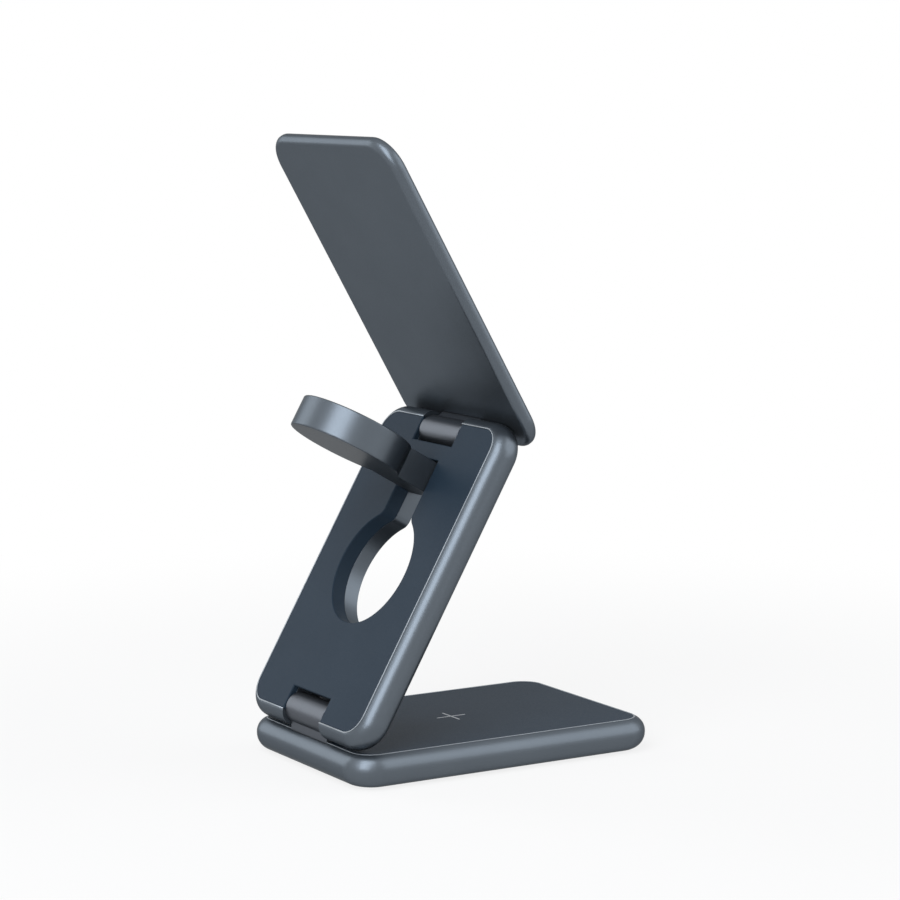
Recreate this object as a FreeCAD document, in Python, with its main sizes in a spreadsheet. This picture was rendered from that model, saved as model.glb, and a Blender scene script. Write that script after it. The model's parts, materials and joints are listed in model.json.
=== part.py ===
"""Folding three-panel wireless charger stand.

A base slab, a middle panel with a keyhole for the watch puck and a thin phone panel are joined
in a Z by two hinges. The frame is +X across the panels, +Y towards the lower hinge and +Z up,
with the origin under the centre of the base. Lengths are millimetres, angles degrees.
"""

import FreeCAD, Part
import math
import os
import re
import Sketcher

doc = FreeCAD.newDocument("wireless_charger")
sheet = doc.addObject("Spreadsheet::Sheet", "sizes")

DIMENSIONS = {
    # Panel outlines
    "panel_width": 62.0,
    "panel_length": 92.5,
    "panel_corner": 8.8,
    "base_thick": 8.9,
    "middle_thick": 8.9,
    "phone_thick": 3.8,
    "rim_round": 4.0,
    "back_round": 4.6,
    "phone_round": 1.75,
    "side_flat": 0.3,
    # Trays and the plates let into them
    "rim_width": 2.9,
    "ledge_width": 1.2,
    "floor_thick": 1.5,
    "phone_floor": 1.0,
    "plate_thick": 1.6,
    "phone_plate_thick": 1.0,
    "plate_drop": 0.15,
    "plate_gap": 0.1,
    "seat_gap": 0.05,
    # How the panels stand
    "middle_angle": 60.0,
    "phone_angle": 60.0,
    "hinge_inset": 5.15,
    "panel_gap": 0.85,
    # Foot pad under the base
    "pad_inset": 7.5,
    "pad_corner": 4.0,
    "pad_proud": 0.4,
    "pad_recess": 0.5,
    # Hinges
    "notch_width": 19.8,
    "notch_depth": 9.7,
    "notch_wall": 1.5,
    "cheek_width": 6.0,
    "barrel_radius": 4.2,
    "barrel_gap": 0.3,
    "leaf_thick": 5.2,
    "leaf_gap": 0.2,
    "pin_radius": 1.5,
    "pin_length": 10.8,
    "running_gap": 0.05,
    "press_gap": 0.01,
    "bush_radius": 2.5,
    "bush_thick": 1.0,
    "bush_proud": 0.2,
    "base_foot_thick": 2.4,
    "base_foot_length": 11.0,
    "phone_foot_thick": 1.2,
    "phone_foot_length": 8.5,
    # Screws
    "screw_radius": 1.0,
    "screw_head": 1.9,
    "screw_head_thick": 0.5,
    "foot_screw_apart": 11.0,
    "foot_screw_along": 6.5,
    "phone_screw_along": 4.5,
    "phone_screw_sink": 0.6,
    "phone_head_thick": 0.3,
    "blind_skin": 0.3,
    "cut_spare": 1.0,
    # Keyhole for the watch puck and its arm
    "hole_radius": 16.2,
    "neck_width": 14.0,
    "neck_end": 14.3,
    "neck_blend": 3.0,
    "collar_wall": 1.3,
    "ear_width": 4.0,
    "ear_half": 3.0,
    "ear_rise": 2.2,
    "pivot_radius": 1.2,
    # Watch arm
    "pivot_inset": 19.05,
    "puck_radius": 15.5,
    "puck_edge": 0.25,
    "arm_thick": 8.4,
    "arm_gap": 0.3,
    "puck_floor": 2.0,
    "puck_wall": 2.7,
    "cap_lap": 0.9,
    "cap_thick": 1.6,
    "watch_board_thick": 1.0,
    "watch_ferrite_thick": 1.5,
    "watch_coil_thick": 1.6,
    "watch_coil_inner": 5.0,
    "watch_coil_outer": 11.5,
    "watch_magnet_radius": 4.2,
    "watch_inner_gap": 0.5,
    # Main board and what it carries
    "board_thick": 1.0,
    "board_rise": 0.3,
    "board_left": 22.0,
    "board_wall_gap": 0.4,
    "board_front": 2.0,
    "board_rear": 24.0,
    "boss_radius": 2.4,
    "board_screw_inset": 3.0,
    "board_head_thick": 0.8,
    "chip_size": 7.0,
    "chip_thick": 0.9,
    "inductor_size": 5.0,
    "inductor_thick": 1.7,
    "capacitor_size": 2.2,
    "capacitor_thick": 1.5,
    "part_pitch": 8.5,
    # Power inlet on the hidden long side
    "inlet_along": 14.0,
    "inlet_width": 9.0,
    "inlet_height": 3.2,
    "inlet_wall": 0.3,
    "inlet_length": 7.3,
    "inlet_recess": 0.8,
    "inlet_gap": 0.25,
    "tongue_width": 6.7,
    "tongue_thick": 0.7,
    "tongue_length": 5.0,
    # Earbud coil under the base plate
    "earbud_coil_inner": 7.0,
    "earbud_coil_outer": 18.0,
    "earbud_coil_thick": 1.2,
    "earbud_ferrite_radius": 19.0,
    "earbud_ferrite_thick": 0.8,
    # Board inside the middle panel
    "relay_half_width": 23.0,
    "relay_gap": 2.0,
    "relay_chip": 5.0,
    # Phone coil and magnets
    "phone_ring_along": 8.0,
    "phone_ring_gap": 0.5,
    "phone_ring_band": 3.2,
    "phone_ring_thick": 1.4,
    "phone_ring_slit": 0.8,
    "phone_ring_count": 16,
    "phone_coil_inner": 10.0,
    "phone_coil_margin": 1.0,
    "phone_coil_thick": 0.8,
    "phone_ferrite_gap": 0.7,
    "phone_ferrite_thick": 0.5,
    "guide_magnet_width": 20.0,
    "guide_magnet_height": 5.0,
    "guide_magnet_space": 2.0,
}

for row, (alias, size) in enumerate(DIMENSIONS.items(), start=1):
    sheet.set(f"A{row}", alias)
    sheet.set(f"B{row}", str(size))
    sheet.setAlias(f"B{row}", alias)
doc.recompute()

# Places that several pieces share, written as formulas of the sheet's cells
AXIS_ALONG = "(panel_length / 2 - hinge_inset)"
AXIS_RISE = "(panel_gap + middle_thick / 2)"
BASE_TOP = "(pad_proud + base_thick)"
BASE_FLOOR = "(pad_proud + floor_thick)"
BASE_PLATE_UNDER = f"({BASE_TOP} - plate_drop - plate_thick)"
BASE_MIDDLE = "(pad_proud + base_thick / 2)"
MIDDLE_TOP = "(middle_thick / 2)"
MIDDLE_FLOOR = "(floor_thick - middle_thick / 2)"
MIDDLE_PLATE_UNDER = f"({MIDDLE_TOP} - plate_drop - plate_thick)"
PHONE_TOP = "(phone_thick / 2)"
PHONE_FLOOR = "(phone_floor - phone_thick / 2)"
PHONE_PLATE_UNDER = f"({PHONE_TOP} - phone_plate_thick)"
CAVITY_INSET = "(rim_width + ledge_width)"
BARREL_HALF = "(notch_width / 2 - barrel_gap)"
CHEEK_OUTER = "(notch_width / 2 + cheek_width)"
NOTCH_INNER = "(panel_length / 2 - notch_depth)"
BOARD_TOP = f"({BASE_MIDDLE} - inlet_height / 2)"
BOARD_UNDER = f"({BOARD_TOP} - board_thick)"
BOARD_RIGHT = f"(panel_width / 2 - {CAVITY_INSET} - board_wall_gap)"
RELAY_UNDER = f"({MIDDLE_FLOOR} + board_rise)"
RELAY_NEAR = "(hole_radius + collar_wall + relay_gap)"
RELAY_FAR = f"({NOTCH_INNER} - notch_wall - relay_gap)"
RELAY_MIDDLE = f"(({RELAY_NEAR} + {RELAY_FAR}) / 2)"
PIVOT_REACH = "(panel_length / 2 - pivot_inset)"
RING_OUTER = f"(panel_width / 2 - {CAVITY_INSET} - phone_ring_gap)"
RING_INNER = f"({RING_OUTER} - phone_ring_band)"
PHONE_FERRITE_RADIUS = f"({RING_INNER} - phone_ferrite_gap)"
PHONE_COIL_OUTER = f"({PHONE_FERRITE_RADIUS} - phone_coil_margin)"

# Where each panel's own frame stands, as (along Y, up Z, turn about X)
LOWER_AXIS = (AXIS_ALONG, f"({BASE_TOP} + {AXIS_RISE})")
UPPER_AXIS = (
    f"({LOWER_AXIS[0]} - 2 * {AXIS_ALONG} * cos(middle_angle))",
    f"({LOWER_AXIS[1]} + 2 * {AXIS_ALONG} * sin(middle_angle))",
)
PHONE_LIFT = f"({AXIS_RISE} + phone_thick / 2)"
STANDS = {
    "base": ("0", "0", "0"),
    "middle": (
        f"{LOWER_AXIS[0]} - {AXIS_ALONG} * cos(middle_angle)",
        f"{LOWER_AXIS[1]} + {AXIS_ALONG} * sin(middle_angle)",
        "360 - middle_angle",
    ),
    "arm": (
        f"{LOWER_AXIS[0]} - ({AXIS_ALONG} + {PIVOT_REACH}) * cos(middle_angle)",
        f"{LOWER_AXIS[1]} + ({AXIS_ALONG} + {PIVOT_REACH}) * sin(middle_angle)",
        "90 - middle_angle",
    ),
    "phone": (
        f"{UPPER_AXIS[0]} + {AXIS_ALONG} * cos(phone_angle) - {PHONE_LIFT} * sin(phone_angle)",
        f"{UPPER_AXIS[1]} + {AXIS_ALONG} * sin(phone_angle) + {PHONE_LIFT} * cos(phone_angle)",
        "phone_angle",
    ),
    "lower_axis": (LOWER_AXIS[0], LOWER_AXIS[1], "0"),
    "upper_axis": (UPPER_AXIS[0], UPPER_AXIS[1], "180 + phone_angle"),
}


def bound(formula):
    """The formula with each alias written as a reference to the sheet."""
    return re.sub(r"[a-z]+(?:_[a-z]+)+", lambda found: "sizes." + found.group(), formula)


def number(formula):
    """The formula's present value."""
    return float(sheet.evalExpression(formula))


def new_piece(label, stand):
    """An empty body that stands in one of the frames."""
    piece = doc.addObject("PartDesign::Body", label)
    along, rise, turn = STANDS[stand]
    piece.Placement = FreeCAD.Placement(
        FreeCAD.Vector(0, number(along), number(rise)),
        FreeCAD.Rotation(FreeCAD.Vector(1, 0, 0), max(number(turn), 1e-3)),
    )
    piece.setExpression("Placement.Base.y", bound(along))
    piece.setExpression("Placement.Base.z", bound(rise))
    piece.setExpression("Placement.Rotation.Angle", bound(turn))
    return piece


def new_sketch(piece, role="XY_Plane", level="0"):
    """A sketch on one of the body's own planes, moved along that plane's normal."""
    profile = piece.newObject("Sketcher::SketchObject", piece.Name + "_sketch")
    plane = [item for item in piece.Origin.OriginFeatures if item.Role == role][0]
    profile.AttachmentSupport = [(plane, "")]
    profile.MapMode = "FlatFace"
    profile.setExpression("AttachmentOffset.Base.z", bound(level))
    return profile


def fix(profile, kind, where, size):
    """A dimension in a sketch, tied to its formula."""
    index = profile.addConstraint(Sketcher.Constraint(kind, *where, number(size)))
    profile.setExpression(f"Constraints[{index}]", bound(size))


def draw_circle(profile, radius, across="0", along="0"):
    """A circle placed by its centre."""
    centre = FreeCAD.Vector(number(across), number(along), 0)
    circle = Part.Circle(centre, FreeCAD.Vector(0, 0, 1), number(radius))
    index = profile.addGeometry(circle, False)
    fix(profile, "DistanceX", (-1, 1, index, 3), across)
    fix(profile, "DistanceY", (-1, 1, index, 3), along)
    fix(profile, "Radius", (index,), radius)


def draw_polygon(profile, corners):
    """A closed outline of straight lines through the corners."""
    first = profile.GeometryCount
    spots = [FreeCAD.Vector(number(across), number(along), 0) for across, along in corners]
    for spot, following in zip(spots, spots[1:] + spots[:1]):
        profile.addGeometry(Part.LineSegment(spot, following), False)
    for index, (across, along) in enumerate(corners):
        line = first + index
        following = first + (index + 1) % len(corners)
        profile.addConstraint(Sketcher.Constraint("Coincident", line, 2, following, 1))
        fix(profile, "DistanceX", (-1, 1, line, 1), across)
        fix(profile, "DistanceY", (-1, 1, line, 1), along)


def draw_box(profile, left, right, near, far):
    """A rectangle between two places across and two along."""
    draw_polygon(profile, [(left, near), (right, near), (right, far), (left, far)])


def draw_rounded(profile, half_width, half_length, corner):
    """A centred rectangle with round corners."""
    wide = number(half_width)
    long = number(half_length)
    radius = number(corner)
    up = FreeCAD.Vector(0, 0, 1)
    quarter = math.pi / 2
    ends = [
        ((wide - radius, -long), (-wide + radius, -long)),
        ((-wide, -long + radius), (-wide, long - radius)),
        ((-wide + radius, long), (wide - radius, long)),
        ((wide, long - radius), (wide, -long + radius)),
    ]
    for start, end in ends:
        line = Part.LineSegment(FreeCAD.Vector(*start, 0), FreeCAD.Vector(*end, 0))
        profile.addGeometry(line, False)
    turns = [(-1, -1, 2), (-1, 1, 1), (1, 1, 0), (1, -1, 3)]
    for side, end, step in turns:
        centre = FreeCAD.Vector(side * (wide - radius), end * (long - radius), 0)
        circle = Part.Circle(centre, up, radius)
        arc = Part.ArcOfCircle(circle, step * quarter, (step + 1) * quarter)
        profile.addGeometry(arc, False)
    # Each arc runs anticlockwise, so its end meets the line before it
    for line in range(4):
        arc = 4 + line
        following = (line + 1) % 4
        profile.addConstraint(Sketcher.Constraint("Tangent", line, 2, arc, 2))
        profile.addConstraint(Sketcher.Constraint("Tangent", arc, 1, following, 1))
    for line in (0, 2):
        profile.addConstraint(Sketcher.Constraint("Horizontal", line))
    for line in (1, 3):
        profile.addConstraint(Sketcher.Constraint("Vertical", line))
    for arc in (5, 6, 7):
        profile.addConstraint(Sketcher.Constraint("Equal", 4, arc))
    fix(profile, "Radius", (4,), corner)
    fix(profile, "DistanceY", (-1, 1, 0, 1), f"-({half_length})")
    fix(profile, "DistanceX", (-1, 1, 1, 1), f"-({half_width})")
    fix(profile, "DistanceY", (-1, 1, 2, 1), half_length)
    fix(profile, "DistanceX", (-1, 1, 3, 1), half_width)


def draw_keyhole(profile, grow):
    """The round hole with its neck and blended throat, grown outwards by a wall."""
    hole = f"hole_radius + {grow}"
    half = f"neck_width / 2 + {grow}"
    end = f"panel_length / 2 - neck_end + {grow}"
    blend = f"neck_blend - {grow}"
    radius = number(hole)
    side = number(half)
    top = -number(end)
    turn = number(blend)
    throat = -(((radius + turn) ** 2 - (side + turn) ** 2) ** 0.5)
    up = FreeCAD.Vector(0, 0, 1)
    corners = [(-side, throat), (-side, top), (side, top), (side, throat)]
    for start, finish in zip(corners, corners[1:]):
        line = Part.LineSegment(FreeCAD.Vector(*start, 0), FreeCAD.Vector(*finish, 0))
        profile.addGeometry(line, False)
    swing = math.atan2(-throat, side + turn)
    arcs = [
        (side + turn, throat, turn, math.pi - swing, math.pi),
        (-side - turn, throat, turn, 0, swing),
        (0, 0, radius, -swing, math.pi + swing),
    ]
    for across, along, size, start, finish in arcs:
        circle = Part.Circle(FreeCAD.Vector(across, along, 0), up, size)
        profile.addGeometry(Part.ArcOfCircle(circle, start, finish), False)
    for line in (0, 1):
        profile.addConstraint(Sketcher.Constraint("Coincident", line, 2, line + 1, 1))
    for near, near_end, far, far_end in ((2, 2, 3, 2), (3, 1, 5, 1), (0, 1, 4, 1), (4, 2, 5, 2)):
        profile.addConstraint(Sketcher.Constraint("Tangent", near, near_end, far, far_end))
    profile.addConstraint(Sketcher.Constraint("Coincident", 5, 3, -1, 1))
    profile.addConstraint(Sketcher.Constraint("Horizontal", 1))
    profile.addConstraint(Sketcher.Constraint("Vertical", 0))
    profile.addConstraint(Sketcher.Constraint("Vertical", 2))
    profile.addConstraint(Sketcher.Constraint("Equal", 3, 4))
    fix(profile, "Radius", (5,), hole)
    fix(profile, "Radius", (3,), blend)
    fix(profile, "DistanceX", (-1, 1, 2, 1), half)
    fix(profile, "DistanceX", (-1, 1, 0, 1), f"-({half})")
    fix(profile, "DistanceY", (-1, 1, 1, 1), f"-({end})")


def add_pad(piece, profile, length, centred=False):
    """Material raised from the sketch along its normal, or half to each side."""
    feature = piece.newObject("PartDesign::Pad", piece.Name + "_pad")
    feature.Profile = profile
    feature.setExpression("Length", bound(length))
    if centred:
        feature.SideType = "Symmetric"
    doc.recompute()
    return feature


def cut_pocket(piece, profile, depth=None, centred=False):
    """Material taken away below the sketch, to a depth or right through."""
    before = piece.Shape.Volume
    feature = piece.newObject("PartDesign::Pocket", piece.Name + "_pocket")
    feature.Profile = profile
    if depth is None:
        feature.Type = "ThroughAll"
    else:
        feature.setExpression("Length", bound(depth))
    if centred:
        feature.SideType = "Symmetric"
    doc.recompute()
    if piece.Shape.Volume > before - 1e-6:
        raise ValueError(piece.Label + ": a pocket misses the piece")
    return feature


def soften_level(piece, level, size, kind="Fillet"):
    """A round, or a chamfer, on every edge that lies in one level plane."""
    height = number(level)
    basis = piece.Tip
    names = []
    for index, edge in enumerate(basis.Shape.Edges, start=1):
        box = edge.BoundBox
        if abs(box.ZMin - height) < 1e-5 and abs(box.ZMax - height) < 1e-5:
            names.append(f"Edge{index}")
    feature = piece.newObject("PartDesign::" + kind, piece.Name + "_" + kind.lower())
    feature.Base = (basis, names)
    feature.setExpression("Radius" if kind == "Fillet" else "Size", bound(size))
    doc.recompute()
    return feature


def draw_panel(profile, inset="0"):
    """The panels' common outline, drawn in from the edge."""
    half_width = f"panel_width / 2 - {inset}"
    half_length = f"panel_length / 2 - {inset}"
    draw_rounded(profile, half_width, half_length, f"panel_corner - {inset}")


def draw_notch(profile, end):
    """A hinge notch, open past the panel's end."""
    half = "notch_width / 2"
    inner = f"{end} * {NOTCH_INNER}"
    outer = f"{end} * (panel_length / 2 + cut_spare)"
    draw_box(profile, f"-({half})", half, inner, outer)


def draw_leaf_slot(profile, end):
    """The slot that a hinge leaf passes through, with its clearance."""
    half = f"{BARREL_HALF} + leaf_gap"
    reach = "(leaf_thick / 2 + leaf_gap)"
    near = f"{end} * {AXIS_ALONG} - {reach}"
    far = f"{end} * {AXIS_ALONG} + {reach}"
    draw_box(profile, f"-({half})", half, near, far)


def tray(label, stand, bottom, thick, floor, seat_depth, front_round, rear_round):
    """A milled tray: full rounds on both edges, a seat for the plate and a cavity below it."""
    piece = new_piece(label, stand)
    outline = new_sketch(piece, level=bottom)
    draw_panel(outline)
    add_pad(piece, outline, thick)
    top = f"({bottom} + {thick})"
    front = f"min({front_round}; ({thick} - side_flat) / 2)"
    soften_level(piece, top, front)
    soften_level(piece, bottom, f"min({rear_round}; {thick} - side_flat - {front})")
    seat = new_sketch(piece, level=top)
    draw_panel(seat, "rim_width")
    cut_pocket(piece, seat, seat_depth)
    cavity = new_sketch(piece, level=top)
    draw_panel(cavity, CAVITY_INSET)
    cut_pocket(piece, cavity, f"{thick} - {floor}")
    return piece


def inset_plate(label, stand, under, thick):
    """The flat plate that closes a tray, inside the rim with a clearance."""
    piece = new_piece(label, stand)
    outline = new_sketch(piece, level=under)
    draw_panel(outline, "(rim_width + plate_gap)")
    add_pad(piece, outline, thick)
    return piece


def ring(label, stand, level, thick, outer, inner, along="0"):
    """A flat ring or, with no inner radius, a disc."""
    piece = new_piece(label, stand)
    profile = new_sketch(piece, level=level)
    draw_circle(profile, outer, along=along)
    if inner is not None:
        draw_circle(profile, inner, along=along)
    add_pad(piece, profile, thick)
    return piece


def rod(label, stand, start, length, radius, along, bore=None):
    """A pin or bush that lies across the panel."""
    piece = new_piece(label, stand)
    profile = new_sketch(piece, "YZ_Plane", start)
    draw_circle(profile, radius, across=along)
    if bore is not None:
        draw_circle(profile, bore, across=along)
    add_pad(piece, profile, length)
    return piece


def block_group(label, stand, level, thick, size, places):
    """Square components of one kind, standing on a board."""
    piece = new_piece(label, stand)
    profile = new_sketch(piece, level=level)
    for across, along in places:
        left = f"{across} - {size} / 2"
        near = f"{along} - {size} / 2"
        draw_box(profile, left, f"{left} + {size}", near, f"{near} + {size}")
    add_pad(piece, profile, thick)
    return piece


def screw_group(label, stand, tip, shank, head_level, head_thick, head_radius, places):
    """Screws of one kind: shanks from their tips, with flat heads."""
    piece = new_piece(label, stand)
    shanks = new_sketch(piece, level=tip)
    heads = new_sketch(piece, level=head_level)
    for across, along in places:
        draw_circle(shanks, "screw_radius", across, along)
        draw_circle(heads, head_radius, across, along)
    add_pad(piece, shanks, shank)
    add_pad(piece, heads, head_thick)
    return piece


def cut_holes(piece, level, radius, places, depth, from_below=False):
    """Round holes cut from one level to a depth."""
    profile = new_sketch(piece, level=level)
    for across, along in places:
        draw_circle(profile, radius, across, along)
    feature = piece.newObject("PartDesign::Pocket", piece.Name + "_holes")
    before = piece.Shape.Volume
    feature.Profile = profile
    feature.setExpression("Length", bound(depth))
    feature.Reversed = from_below
    doc.recompute()
    if piece.Shape.Volume > before - 1e-6:
        raise ValueError(piece.Label + ": the holes miss the piece")


def knuckle(label, stand, reach, foot_thick, foot_length, screw_along):
    """A hinge barrel with its leaf and the foot that is screwed inside a panel."""
    piece = new_piece(label, stand)
    width = f"2 * {BARREL_HALF}"
    barrel = new_sketch(piece, "YZ_Plane")
    draw_circle(barrel, "barrel_radius")
    add_pad(piece, barrel, width, centred=True)
    half_leaf = "leaf_thick / 2"
    stem = new_sketch(piece, "YZ_Plane")
    side = [
        (half_leaf, "0"),
        (half_leaf, f"-({reach})"),
        (f"-({half_leaf} + {foot_length})", f"-({reach})"),
        (f"-({half_leaf} + {foot_length})", f"{foot_thick} - ({reach})"),
        (f"-({half_leaf})", f"{foot_thick} - ({reach})"),
        (f"-({half_leaf})", "0"),
    ]
    draw_polygon(stem, side)
    add_pad(piece, stem, width, centred=True)
    bore = new_sketch(piece, "YZ_Plane")
    draw_circle(bore, "pin_radius + running_gap")
    cut_pocket(piece, bore, f"{width} + cut_spare", centred=True)
    line = f"-({half_leaf} + {screw_along})"
    places = [("-foot_screw_apart / 2", line), ("foot_screw_apart / 2", line)]
    level = f"{foot_thick} - ({reach})"
    cut_holes(piece, level, "screw_radius + running_gap", places, foot_thick)
    return piece


BASE_SCREWS = [
    ("-foot_screw_apart / 2", f"{AXIS_ALONG} - leaf_thick / 2 - foot_screw_along"),
    ("foot_screw_apart / 2", f"{AXIS_ALONG} - leaf_thick / 2 - foot_screw_along"),
]
PHONE_SCREWS = [
    ("-foot_screw_apart / 2", f"leaf_thick / 2 + phone_screw_along - {AXIS_ALONG}"),
    ("foot_screw_apart / 2", f"leaf_thick / 2 + phone_screw_along - {AXIS_ALONG}"),
]
BOARD_SCREWS = [
    ("board_screw_inset - board_left", "board_screw_inset - board_front"),
    ("board_screw_inset - board_left", "board_rear - board_screw_inset"),
    (f"{BOARD_RIGHT} - board_screw_inset", "board_screw_inset - board_front"),
    (f"{BOARD_RIGHT} - board_screw_inset", "board_rear - board_screw_inset"),
]
RELAY_SCREWS = [
    ("board_screw_inset - relay_half_width", RELAY_MIDDLE),
    ("relay_half_width - board_screw_inset", RELAY_MIDDLE),
]


def raise_bosses(piece, floor, places):
    """Low round bosses on a tray floor, with blind screw holes."""
    profile = new_sketch(piece, level=f"{floor} - seat_gap")
    for across, along in places:
        draw_circle(profile, "boss_radius", across, along)
    add_pad(piece, profile, "board_rise")
    level = f"{floor} - seat_gap + board_rise"
    hole = "screw_radius + running_gap"
    cut_holes(piece, level, hole, places, "board_rise + floor_thick - pad_recess - blind_skin")


def make_base():
    """The base slab with its plate, foot pad, board, inlet and earbud coil."""
    shell = tray("base_shell", "base", "pad_proud", "base_thick", "floor_thick",
                 "plate_thick + plate_drop", "rim_round", "back_round")
    slot = new_sketch(shell, level=BASE_TOP)
    draw_leaf_slot(slot, "1")
    cut_pocket(shell, slot, "base_thick - floor_thick")
    raise_bosses(shell, BASE_FLOOR, BOARD_SCREWS)
    cut_holes(shell, "pad_proud", "screw_radius + running_gap", BASE_SCREWS, "floor_thick", True)
    head_depth = "pad_recess + screw_head_thick + seat_gap"
    cut_holes(shell, "pad_proud", "screw_head + running_gap", BASE_SCREWS, head_depth, True)
    recess = new_sketch(shell, level="pad_proud + pad_recess")
    draw_rounded(recess, "panel_width / 2 - pad_inset", "panel_length / 2 - pad_inset", "pad_corner")
    cut_pocket(shell, recess, "pad_recess")
    inlet = new_sketch(shell, "YZ_Plane", "panel_width / 2")
    draw_inlet(inlet, "inlet_gap")
    cut_pocket(shell, inlet, f"{CAVITY_INSET} + inlet_gap")

    plate = inset_plate("base_top_plate", "base", BASE_PLATE_UNDER, "plate_thick")
    notch = new_sketch(plate, level=BASE_TOP)
    draw_leaf_slot(notch, "1")
    cut_pocket(plate, notch)

    pad = new_piece("base_foot_pad", "base")
    sole = new_sketch(pad)
    inset = "(pad_inset + plate_gap)"
    draw_rounded(sole, f"panel_width / 2 - {inset}", f"panel_length / 2 - {inset}",
                 "pad_corner - plate_gap")
    add_pad(pad, sole, "pad_proud + pad_recess - seat_gap")

    board = new_piece("main_board", "base")
    outline = new_sketch(board, level=BOARD_UNDER)
    draw_box(outline, "-board_left", BOARD_RIGHT, "-board_front", "board_rear")
    add_pad(board, outline, "board_thick")
    cut_holes(board, BOARD_TOP, "screw_radius + running_gap", BOARD_SCREWS, "board_thick")

    level = f"{BOARD_TOP} + seat_gap"
    block_group("controller_chip", "base", level, "chip_thick", "chip_size", [("0", "board_rear / 2")])
    coils = [("-part_pitch", "board_rear / 2"), ("-part_pitch", "board_rear / 2 - part_pitch")]
    block_group("power_inductors", "base", level, "inductor_thick", "inductor_size", coils)
    caps = [("part_pitch", f"board_rear / 2 - {step} * part_pitch / 2") for step in (-1, 0, 1)]
    block_group("board_capacitors", "base", level, "capacitor_thick", "capacitor_size", caps)
    screw_group("board_screws", "base", f"{BASE_FLOOR} + seat_gap - floor_thick + pad_recess + blind_skin",
                f"{BOARD_TOP} - {BASE_FLOOR} + floor_thick - pad_recess - blind_skin", level,
                "board_head_thick", "screw_head", BOARD_SCREWS)

    shell_back = "panel_width / 2 - inlet_recess - inlet_length"
    socket = new_piece("usb_socket_shell", "base")
    outside = new_sketch(socket, "YZ_Plane", shell_back)
    draw_inlet(outside, "0")
    add_pad(socket, outside, "inlet_length")
    mouth = new_sketch(socket, "YZ_Plane", "panel_width / 2 - inlet_recess")
    draw_inlet(mouth, "-inlet_wall")
    cut_pocket(socket, mouth, "inlet_length - inlet_wall")

    tongue = new_piece("usb_socket_tongue", "base")
    blade = new_sketch(tongue, "YZ_Plane", f"{shell_back} + inlet_wall + seat_gap")
    draw_box(blade, "inlet_along - tongue_width / 2", "inlet_along + tongue_width / 2",
             f"{BASE_MIDDLE} - tongue_thick / 2", f"{BASE_MIDDLE} + tongue_thick / 2")
    add_pad(tongue, blade, "tongue_length")

    coil_level = f"{BASE_PLATE_UNDER} - seat_gap - earbud_coil_thick"
    ring("earbud_coil", "base", coil_level, "earbud_coil_thick", "earbud_coil_outer",
         "earbud_coil_inner")
    ring("earbud_ferrite", "base", f"{coil_level} - seat_gap - earbud_ferrite_thick",
         "earbud_ferrite_thick", "earbud_ferrite_radius", None)

    reach = f"{AXIS_RISE} + base_thick - floor_thick - seat_gap"
    knuckle("lower_hinge_knuckle", "lower_axis", reach, "base_foot_thick", "base_foot_length",
            "foot_screw_along")
    head_level = "pad_proud + pad_recess"
    screw_group("lower_hinge_screws", "base", head_level,
                "floor_thick - pad_recess + base_foot_thick", head_level, "screw_head_thick",
                "screw_head", BASE_SCREWS)


def draw_inlet(profile, grow):
    """The power inlet's flat-sided oval, in the plane that looks along X."""
    half = f"inlet_height / 2 + {grow}"
    straight = "(inlet_width - inlet_height) / 2"
    low = number(f"{BASE_MIDDLE} - ({half})")
    high = number(f"{BASE_MIDDLE} + ({half})")
    near = number(f"inlet_along - {straight}")
    far = number(f"inlet_along + {straight}")
    middle = number(BASE_MIDDLE)
    radius = number(half)
    shapes = [
        Part.LineSegment(FreeCAD.Vector(near, low, 0), FreeCAD.Vector(far, low, 0)),
        Part.LineSegment(FreeCAD.Vector(far, high, 0), FreeCAD.Vector(near, high, 0)),
    ]
    up = FreeCAD.Vector(0, 0, 1)
    quarter = math.pi / 2
    for centre, start in ((far, -1), (near, 1)):
        circle = Part.Circle(FreeCAD.Vector(centre, middle, 0), up, radius)
        shapes.append(Part.ArcOfCircle(circle, start * quarter, (start + 2) * quarter))
    for shape in shapes:
        profile.addGeometry(shape, False)
    for line, line_end, arc, arc_end in ((0, 2, 2, 1), (1, 1, 2, 2), (1, 2, 3, 1), (0, 1, 3, 2)):
        profile.addConstraint(Sketcher.Constraint("Tangent", line, line_end, arc, arc_end))
    profile.addConstraint(Sketcher.Constraint("Horizontal", 0))
    fix(profile, "DistanceX", (-1, 1, 2, 3), f"inlet_along + {straight}")
    fix(profile, "DistanceX", (-1, 1, 3, 3), f"inlet_along - {straight}")
    fix(profile, "DistanceY", (-1, 1, 2, 3), BASE_MIDDLE)
    fix(profile, "Radius", (2,), half)


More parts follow.
